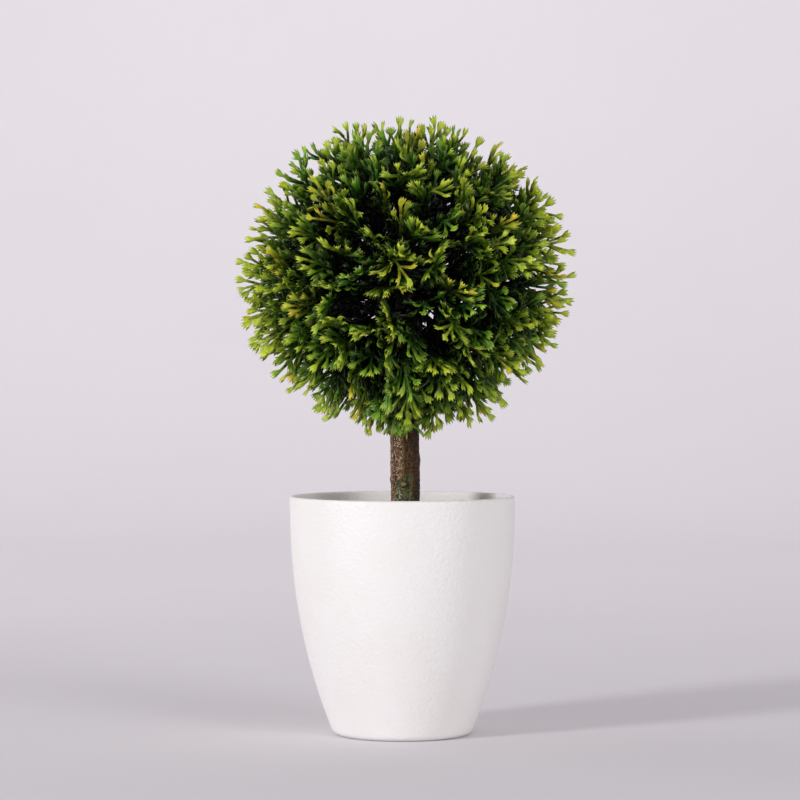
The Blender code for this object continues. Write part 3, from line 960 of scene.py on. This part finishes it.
def leafTemplate(teeth):
    # One toothed leaf with its blade one unit long, drawn out along Y, across X, facing +Z.
    # Half-width grows from neck to teeth. The far edge steps in and out, a tooth to every second column.
    # The blade is cupped across (x squared) and curls up along its length (y squared). The back lies under
    # the front by a thickness that fades towards the edges, where the two meet. The first row is the foot of
    # the stalk; leafArrays stretches it to each leaf's own length.
    columns = 2 * teeth - 1
    along = np.array([-1.0, 0.0, 0.26, 0.58, 1.0])
    neck, wide = leafSettings["neck"], leafSettings["halfWidth"]
    width = np.array([neck, neck, wide * 0.76, wide, wide])
    across = np.linspace(-1, 1, columns)
    v, u = np.meshgrid(across, along)
    isTooth = np.arange(columns) % 2 == 0
    x = v * width[:, None]
    y = u.copy()
    y[-1] = np.where(isTooth, 1.0 - 0.16 * across ** 2, 1.0 - leafSettings["toothDepth"] - 0.10 * across ** 2)
    x[-1] = np.where(isTooth, x[-1] * 1.06, x[-1] * 0.94)
    y[3] -= 0.14 * across ** 2
    flute = np.where(isTooth, 0.024, -0.024)[None] * smoothStep(0.3, 0.8, u)
    z = leafSettings["cup"] * x ** 2 / wide + leafSettings["curl"] * np.maximum(y, 0) ** 2 + flute
    front = np.stack([x, y, z], axis=-1)
    front[:2, :, 2] += neck * 0.8 * np.sqrt(1 - across ** 2)
    back = front.copy()
    back[..., 2] -= leafSettings["thickness"] * (1 - v ** 2) * np.array([1.0, 1.0, 0.75, 0.6, 0.0])[:, None]
    back[:2, :, 2] -= neck * 1.1 * np.sqrt(1 - across ** 2)
    frontIndex = np.arange(5 * columns).reshape(5, columns)
    backIndex = frontIndex.copy()
    backIndex[:4, 1:-1] = np.arange(4 * (columns - 2)).reshape(4, columns - 2) + 5 * columns
    points = np.concatenate([front.reshape(-1, 3), back[:4, 1:-1].reshape(-1, 3)])
    rim = np.concatenate([np.broadcast_to(np.abs(across), (5, columns)).ravel(), np.zeros(4 * (columns - 2))])
    rim = rim * smoothStep(0.0, 0.3, points[:, 1])

    def faces(index):
        corners = [index[:-1, :-1], index[:-1, 1:], index[1:, 1:], index[1:, :-1]]
        return np.stack(corners, axis=-1).reshape(-1, 4)

    quads = np.concatenate([faces(frontIndex), faces(backIndex)[:, ::-1]])
    cap = np.concatenate([frontIndex[0][::-1], backIndex[0, 1:-1]])[None]
    # painted highlight: a share that rises on the teeth and along the edges
    paintedLight = np.maximum(smoothStep(0.62, 1.0, points[:, 1]), 0.55 * smoothStep(0.7, 1.0, rim))
    return points, quads, cap, paintedLight, smoothStep(-0.3, 0.55, points[:, 1])


def leafArrays(teeth, leaves):
    # every leaf at once: the template's X, Y and Z carried on each leaf's own side, ahead and face directions
    points, quads, cap, paintedLight, blade = leafTemplate(teeth)
    ahead, side = leaves["ahead"], leaves["side"]
    face = np.cross(side, ahead)
    local = points[None] * leaves["blade"][:, None, None]
    isFoot = points[:, 1] < -0.5
    local[..., 1] = np.where(isFoot[None], 0.0, local[..., 1] + leaves["stalk"][:, None])
    placed = (leaves["base"][:, None] + local[..., 0:1] * side[:, None] + local[..., 1:2] * ahead[:, None]
              + local[..., 2:3] * face[:, None])
    count = len(ahead)
    offset = (np.arange(count) * len(points))[:, None, None]
    values = {"tip": np.tile(paintedLight, count), "blade": np.tile(blade, count),
              "tone": np.repeat(leaves["tone"], len(points))}
    faceSets = [(part[None] + offset).reshape(-1, part.shape[1]) for part in (quads, cap)]
    return placed.reshape(-1, 3), faceSets, values


def sprigMeasures():
    # root and crown direction of each CAD sprig: its inmost points, and the middle of its outmost ones
    roots, crowns = [], []
    for name in sprigNames:
        points = nodePoints(name)
        distance = np.linalg.norm(points - ballCentre, axis=1)
        roots.append(points[distance < distance.min() + 0.0006].mean(axis=0))
        crowns.append(points[distance > distance.max() * 0.93].mean(axis=0) - ballCentre)
    return np.array(roots), unit(np.array(crowns))


def spreadDirections(random):
    # a golden spiral over the ball, jittered, without the patch that the trunk comes out of; then a ring of
    # arms close round the trunk, which hides the top of it
    count = foliageSettings["arms"]
    step = np.arange(count) + 0.5
    z = 1 - 2 * step / count
    azimuth = goldenAngle * step
    level = np.sqrt(1 - z ** 2)
    directions = np.stack([level * np.cos(azimuth), level * np.sin(azimuth), z], axis=-1)
    directions = unit(directions + random.normal(0, 0.04, directions.shape))
    directions = directions[directions[:, 2] > -math.cos(math.radians(foliageSettings["bottomGap"]))]
    turn = np.arange(foliageSettings["skirtArms"]) * math.tau / foliageSettings["skirtArms"]
    drop = math.radians(foliageSettings["skirtAngle"])
    skirt = np.stack([math.sin(drop) * np.cos(turn), math.sin(drop) * np.sin(turn),
                      np.full(len(turn), -math.cos(drop))], axis=-1)
    return np.concatenate([directions, skirt])


def curvePoint(start, control, end, t):
    t = np.asarray(t)[:, None]
    return start * (1 - t) ** 2 + control * 2 * t * (1 - t) + end * t ** 2


def curveAhead(start, control, end, t):
    t = np.asarray(t)[:, None]
    return unit((control - start) * (1 - t) + (end - control) * t)


def squareTo(vectors, ahead):
    # what is left of each vector square to its ahead direction
    return unit(vectors - ahead * np.sum(vectors * ahead, axis=1, keepdims=True))


def rolled(side, ahead, angle):
    return side * np.cos(angle)[:, None] + np.cross(ahead, side) * np.sin(angle)[:, None]


def stemControl(roots, crowns):
    # a stem leaves square to what it is rooted in, then bends towards its crown
    inCore = np.linalg.norm(roots - ballCentre, axis=1) < 0.014
    flat = (roots - ballCentre) * [1, 1, 0]
    sideways = unit(flat + 1e-9) * 0.92 - np.array([0, 0, 0.38])
    leaving = np.where(inCore[:, None], crowns, sideways)
    return roots + leaving * foliageSettings["reach"] * foliageSettings["stemBend"]


def stemTops(crowns):
    return ballCentre + crowns * foliageSettings["reach"] * foliageSettings["stemReach"]


def growArms(random, roots, crowns):
    # one arm to each direction, from the stem of the nearest sprig; arms far off its line leave lower down
    directions = spreadDirections(random)
    likeness = directions @ crowns.T
    owner = np.argmax(likeness, axis=1)
    count = len(owner)
    off = np.arccos(np.clip(likeness[np.arange(count), owner], -1, 1))
    share = np.clip(0.95 - 2.0 * off + random.normal(0, 0.08, count), 0.12, 0.97)
    base = curvePoint(roots[owner], stemControl(roots, crowns)[owner], stemTops(crowns)[owner], share)
    short = foliageSettings["shortBy"] * random.beta(1.2, 2.4, count)
    short[-foliageSettings["skirtArms"]:] += foliageSettings["skirtShort"]
    reach = foliageSettings["reach"] - foliageSettings["flatten"] * directions[:, 2] ** 2 - short
    leaf = leafSettings["blade"] + foliageSettings["stalk"]
    tilt = np.radians(np.clip(np.abs(random.normal(0, foliageSettings["tilt"], count)), 0, 58))
    lean = squareTo(random.normal(0, 1, (count, 3)), directions)
    heading = directions * np.cos(tilt)[:, None] + lean * np.sin(tilt)[:, None]
    end = ballCentre + directions * (reach - leaf * np.cos(tilt))[:, None]
    length = np.linalg.norm(end - base, axis=1)
    control = end - heading * (length * 0.45)[:, None]
    side = squareTo(np.cross(heading, directions) + random.normal(0, 0.15, end.shape), heading)
    side = rolled(side, heading, random.normal(0, 0.45, count))
    return {"start": base, "control": control, "end": end, "side": side, "owner": owner, "length": length,
            "tone": random.random(count)}


def growTwigs(random, arms):
    # pairs of twigs in the plane of each arm, and leaves in the same plane on the ends and sides of the twigs
    twigs, leaves = [], []
    count = len(arms["owner"])
    heading = unit(arms["end"] - arms["control"])
    stalk = foliageSettings["stalk"]
    shared = {"owner": arms["owner"], "tone": arms["tone"]}
    leaves.append({**shared, "base": arms["end"], "ahead": heading, "side": arms["side"],
                   "keep": np.ones(count, bool), "stalk": np.full(count, stalk)})
    for back, reach, sideLeaves in foliageSettings["pairs"]:
        distance = back * random.uniform(0.9, 1.1, count)
        t = 1 - distance / arms["length"]
        for hand in (-1, 1):
            spot = t + random.normal(0, 0.0005, count) / arms["length"]
            keep = (spot > 0.12) & (random.random(count) < 0.96)
            spot = np.clip(spot, 0.05, 1)
            at = curvePoint(arms["start"], arms["control"], arms["end"], spot)
            ahead = curveAhead(arms["start"], arms["control"], arms["end"], spot)
            side = rolled(squareTo(arms["side"], ahead), ahead, random.normal(0, 0.28, count))
            spread = np.radians(foliageSettings["spread"] + random.normal(0, 7, count))[:, None]
            leaving = ahead * np.cos(spread) + hand * side * np.sin(spread)
            length = reach * random.uniform(0.75, 1.2, count)
            bent = unit(leaving + ahead * 0.28 + random.normal(0, 0.12, at.shape))
            middle = at + leaving * (length * 0.5)[:, None]
            end = middle + bent * (length * 0.5)[:, None]
            across = squareTo(hand * side, bent)
            twigs.append({**shared, "start": at, "control": middle, "end": end, "keep": keep})
            leaves.append({**shared, "base": end, "ahead": bent, "side": hand * across, "keep": keep,
                           "stalk": stalk * random.uniform(0.8, 1.3, count)})
            for turn in (1, -1)[:sideLeaves]:
                foot = curvePoint(at, middle, end, random.uniform(0.40, 0.75, count))
                fork = np.radians(random.normal(42, 8, count))[:, None]
                outward = unit(bent * np.cos(fork) + turn * across * np.sin(fork)
                               + random.normal(0, 0.10, at.shape))
                leaves.append({**shared, "base": foot, "ahead": outward,
                               "side": squareTo(hand * across, outward),
                               "keep": keep & (random.random(count) < 0.9),
                               "stalk": stalk * random.uniform(0.8, 1.4, count)})
    return twigs, leaves


def growInnerTwigs(random, roots, crowns):
    # short leafy twigs low on every stem, turned by the golden angle, which close the middle of the ball
    twigs, leaves = [], []
    stemEnd = stemTops(crowns)
    control = stemControl(roots, crowns)
    count = len(roots)
    shared = {"owner": np.arange(count), "tone": random.uniform(0.1, 0.6, count),
              "keep": np.ones(count, bool)}
    for number in range(foliageSettings["innerTwigs"]):
        place = np.full(count, 0.10 + 0.85 * number / foliageSettings["innerTwigs"])
        at = curvePoint(roots, control, stemEnd, place)
        ahead = curveAhead(roots, control, stemEnd, place)
        across = rolled(anySquare(ahead), ahead, goldenAngle * number + random.uniform(0, math.tau, count))
        spread = np.radians(random.normal(58, 8, count))[:, None]
        leaving = ahead * np.cos(spread) + across * np.sin(spread)
        length = foliageSettings["innerLength"] * random.uniform(0.7, 1.2, count)
        middle = at + leaving * (length * 0.5)[:, None]
        end = middle + unit(leaving + ahead * 0.5) * (length * 0.5)[:, None]
        side = squareTo(np.cross(ahead, across), unit(end - middle))
        twigs.append({**shared, "start": at, "control": middle, "end": end})
        for turn, place in ((0, 1.0), (1, 0.75), (-1, 0.7), (1, 0.4), (-1, 0.35)):
            foot = curvePoint(at, middle, end, np.full(count, place))
            fork = np.radians(random.normal(40, 8, count))[:, None] * turn
            outward = unit(unit(end - middle) * np.cos(fork) + side * np.sin(fork)
                           + random.normal(0, 0.15, at.shape))
            leaves.append({**shared, "base": foot, "ahead": outward, "side": squareTo(side, outward),
                           "stalk": foliageSettings["stalk"] * random.uniform(0.9, 1.6, count)})
    return twigs, leaves


def joined(parts):
    # the kept members of all parts, end to end
    keep = np.concatenate([part["keep"] for part in parts])
    labels = [label for label in parts[0] if label != "keep"]
    return {label: np.concatenate([part[label] for part in parts])[keep] for label in labels}


def clearOfTrunk(points):
    # true where a point isn't inside the trunk
    away = np.hypot(points[:, 0] - trunkX, points[:, 1])
    return (away > trunkSettings["radius"] + foliageSettings["trunkClearance"]) | (points[:, 2] > coreLow[2])


def makeFoliageMaterial():
    material, tree, shader = newMaterial("sprigGreen")
    depth = readValue(tree, "depth")
    place = addNode(tree, "TexCoord")
    # darker towards the ball's middle: painted shade of the inner foliage, with the stems' darker base dye in
    # it
    along = rampColour(tree, depth, foliageSettings["paintedDepthShade"])
    tinted = mixInto(tree, along, rampColour(tree, readValue(tree, "tone"), foliageSettings["tones"]), 1.0,
                     "MULTIPLY")
    stalk = rescaled(tree, readValue(tree, "blade"), *foliageSettings["stalkToBlade"])
    cloud = addNode(tree, "TexNoise", Vector=place.outputs["Object"], Scale=420.0, Detail=2.0)
    level = rescaled(tree, cloud.outputs["Fac"], *foliageSettings["cloud"], 0.3, 0.7)
    for factor in (stalk, level):
        tinted = mixInto(tree, tinted, factor, 1.0, "MULTIPLY")
    # painted highlight: the outer leaves' teeth and edges mixed towards pale
    highlightShare = calculate(tree, "MULTIPLY", readValue(tree, "tip"), calculate(tree, "POWER", depth, 4.0))
    tinted = mixInto(tree, tinted, colour(*foliageSettings["tipHighlight"]), highlightShare)
    tree.links.new(tinted, shader.inputs["Base Color"])
    shader.inputs["Roughness"].default_value = foliageSettings["roughness"]
    shader.inputs["Specular IOR Level"].default_value = foliageSettings["specular"]
    grainInto(tree, shader, *foliageSettings["grain"])
    return material


def appendPart(store, points, faceSets, values):
    start = sum(len(part) for part in store["points"])
    store["points"].append(points)
    for faces in faceSets:
        store["faces"].setdefault(faces.shape[1], []).append(faces + start)
    for label, numbers in values.items():
        store["values"][label].append(numbers)


def appendTubes(store, start, control, end, startRadius, endRadius, tube, tone):
    steps, sides = tube
    radii = [np.full(len(start), radius) for radius in (startRadius, endRadius)]
    points, *faceSets = tubeArrays(start, control, end, *radii, steps, sides, anySquare(unit(end - start)))
    plain = np.zeros(len(points))
    values = {"tip": plain, "blade": plain, "tone": np.repeat(tone, steps * sides)}
    appendPart(store, points, faceSets, values)


def makeFoliage():
    random = np.random.default_rng(foliageSettings["seed"])
    roots, crowns = sprigMeasures()
    arms = growArms(random, roots, crowns)
    twigParts, leafParts = growTwigs(random, arms)
    innerTwigs, innerLeaves = growInnerTwigs(random, roots, crowns)
    twigParts, leafParts = twigParts + innerTwigs, leafParts + innerLeaves
    for part in twigParts + leafParts:
        part["keep"] = part["keep"] & clearOfTrunk(part["base" if "base" in part else "end"])
    twigs, leaves = joined(twigParts), joined(leafParts)
    count = len(leaves["base"])
    leaves["side"] = rolled(leaves["side"], leaves["ahead"], random.normal(0, 0.35, count))
    leaves["blade"] = leafSettings["blade"] * random.uniform(0.82, 1.18, count)
    leaves["tone"] = np.clip(leaves["tone"] * 0.8 + random.random(count) * 0.2, 0, 1)
    teethShares = leafSettings["teeth"]
    leaves["teeth"] = random.choice(list(teethShares), count, p=list(teethShares.values()))
    material = makeFoliageMaterial()
    stemEnd = stemTops(crowns)
    control = stemControl(roots, crowns)
    armRadius, twigRadius = foliageSettings["armRadius"], foliageSettings["twigRadius"]
    for number, name in enumerate(sprigNames):
        store = {"points": [], "faces": {}, "values": {"tip": [], "blade": [], "tone": []}}
        own = slice(number, number + 1)
        appendTubes(store, roots[own], control[own], stemEnd[own], foliageSettings["stemRadius"],
                    armRadius, foliageSettings["stemTube"], [0.5])
        mine = arms["owner"] == number
        appendTubes(store, arms["start"][mine], arms["control"][mine], arms["end"][mine],
                    armRadius, armRadius * 0.75, foliageSettings["armTube"], arms["tone"][mine])
        mine = twigs["owner"] == number
        appendTubes(store, twigs["start"][mine], twigs["control"][mine], twigs["end"][mine],
                    twigRadius, twigRadius * 0.9, foliageSettings["twigTube"], twigs["tone"][mine])
        for teeth in leafSettings["teeth"]:
            mine = (leaves["owner"] == number) & (leaves["teeth"] == teeth)
            appendPart(store, *leafArrays(teeth, {label: row[mine] for label, row in leaves.items()}))
        points = np.concatenate(store["points"])
        distance = np.linalg.norm(points - ballCentre, axis=1) / foliageSettings["reach"]
        values = {label: np.concatenate(numbers) for label, numbers in store["values"].items()}
        # depth runs from the ball's middle to its edge; the material darkens by it as painted shade of the
        # inner foliage
        values["depth"] = smoothStep(0.30, 1.02, distance)
        mesh = makeMesh("leaves_" + name[-2:], points,
                        [np.concatenate(faces) for faces in store["faces"].values()], values)
        placePiece("leaves_" + name[-2:], mesh, material, "tree", [name])
    print("foliage has", count, "leaves on", len(twigs["start"]), "twigs")


makeFoliage()
